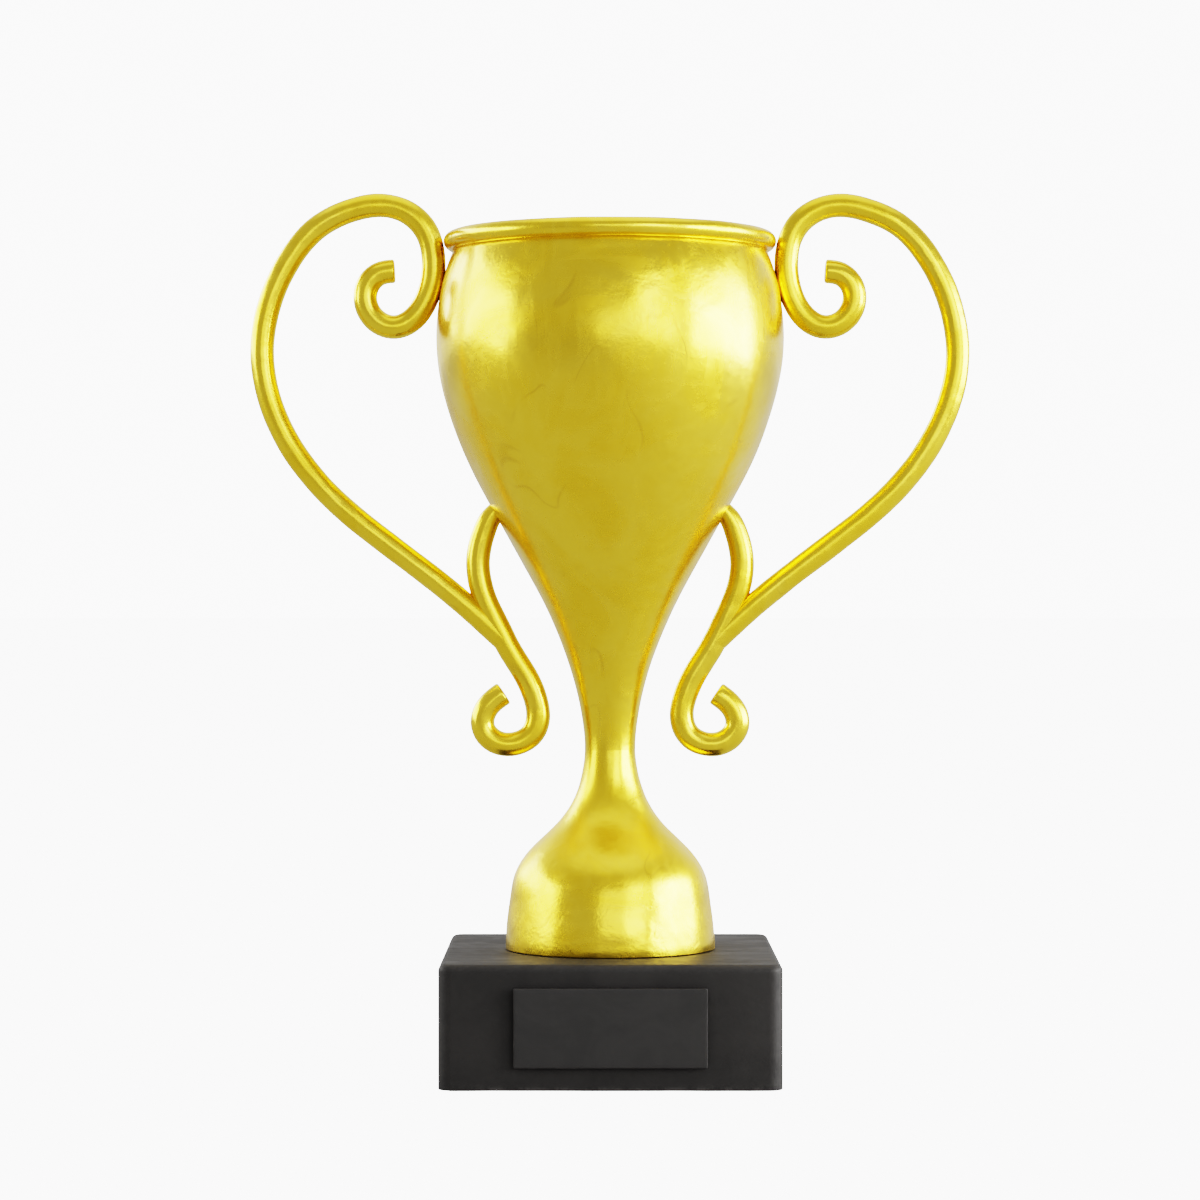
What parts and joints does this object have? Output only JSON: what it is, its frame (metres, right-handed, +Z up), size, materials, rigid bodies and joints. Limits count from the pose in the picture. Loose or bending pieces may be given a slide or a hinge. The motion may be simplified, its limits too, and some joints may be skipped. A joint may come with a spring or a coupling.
{
  "type": "cup trophy",
  "caption": "Tapered metal cup with a round bead rim and two scrolled rod handles on a bell-shaped foot, clamped to a square black plinth with a blank nameplate.",
  "frame": {"origin": "centre of the felt's underside, on the surface that the trophy stands on", "axes": "+Z up along the cup's axis; -Y towards the side with the nameplate; the handles lie along +X and -X"},
  "size_m": [0.2394, 0.1158, 0.292],
  "materials": {
    "gold_plate": "gold plate over spun brass, satin polish with fine wiping marks and faint mottling",
    "turned_brass": "plain turned brass",
    "zinc_steel": "bright zinc plated steel",
    "black_lacquer": "satin black lacquer on wood",
    "plate_black": "black anodised, matt, blank",
    "foam_tape": "double-sided foam tape",
    "felt": "dark green felt",
    "fibreboard": "raw fibreboard"
  },
  "bodies": {
    "root": {"bowl_cap_nut": "turned_brass", "bowl_cone_seat": "turned_brass", "bowl_shell": "gold_plate", "bowl_washer": "zinc_steel", "felt_pad": "felt", "foot_bell": "gold_plate", "foot_disc": "fibreboard", "handle_branch_left": "gold_plate", "handle_branch_right": "gold_plate", "handle_scroll_left": "gold_plate", "handle_scroll_right": "gold_plate", "lower_screw_left": "zinc_steel", "lower_screw_right": "zinc_steel", "lower_washer_left": "turned_brass", "lower_washer_right": "turned_brass", "nameplate": "plate_black", "nameplate_tape": "foam_tape", "neck_sleeve": "turned_brass", "plinth_block": "black_lacquer", "plinth_nut": "zinc_steel", "plinth_washer": "zinc_steel", "rim_bead": "gold_plate", "spacer_tube": "zinc_steel", "spring_washer": "zinc_steel", "tie_rod": "zinc_steel", "upper_screw_left": "zinc_steel", "upper_screw_right": "zinc_steel", "upper_washer_left": "turned_brass", "upper_washer_right": "turned_brass"}
  },
  "joints": []
}
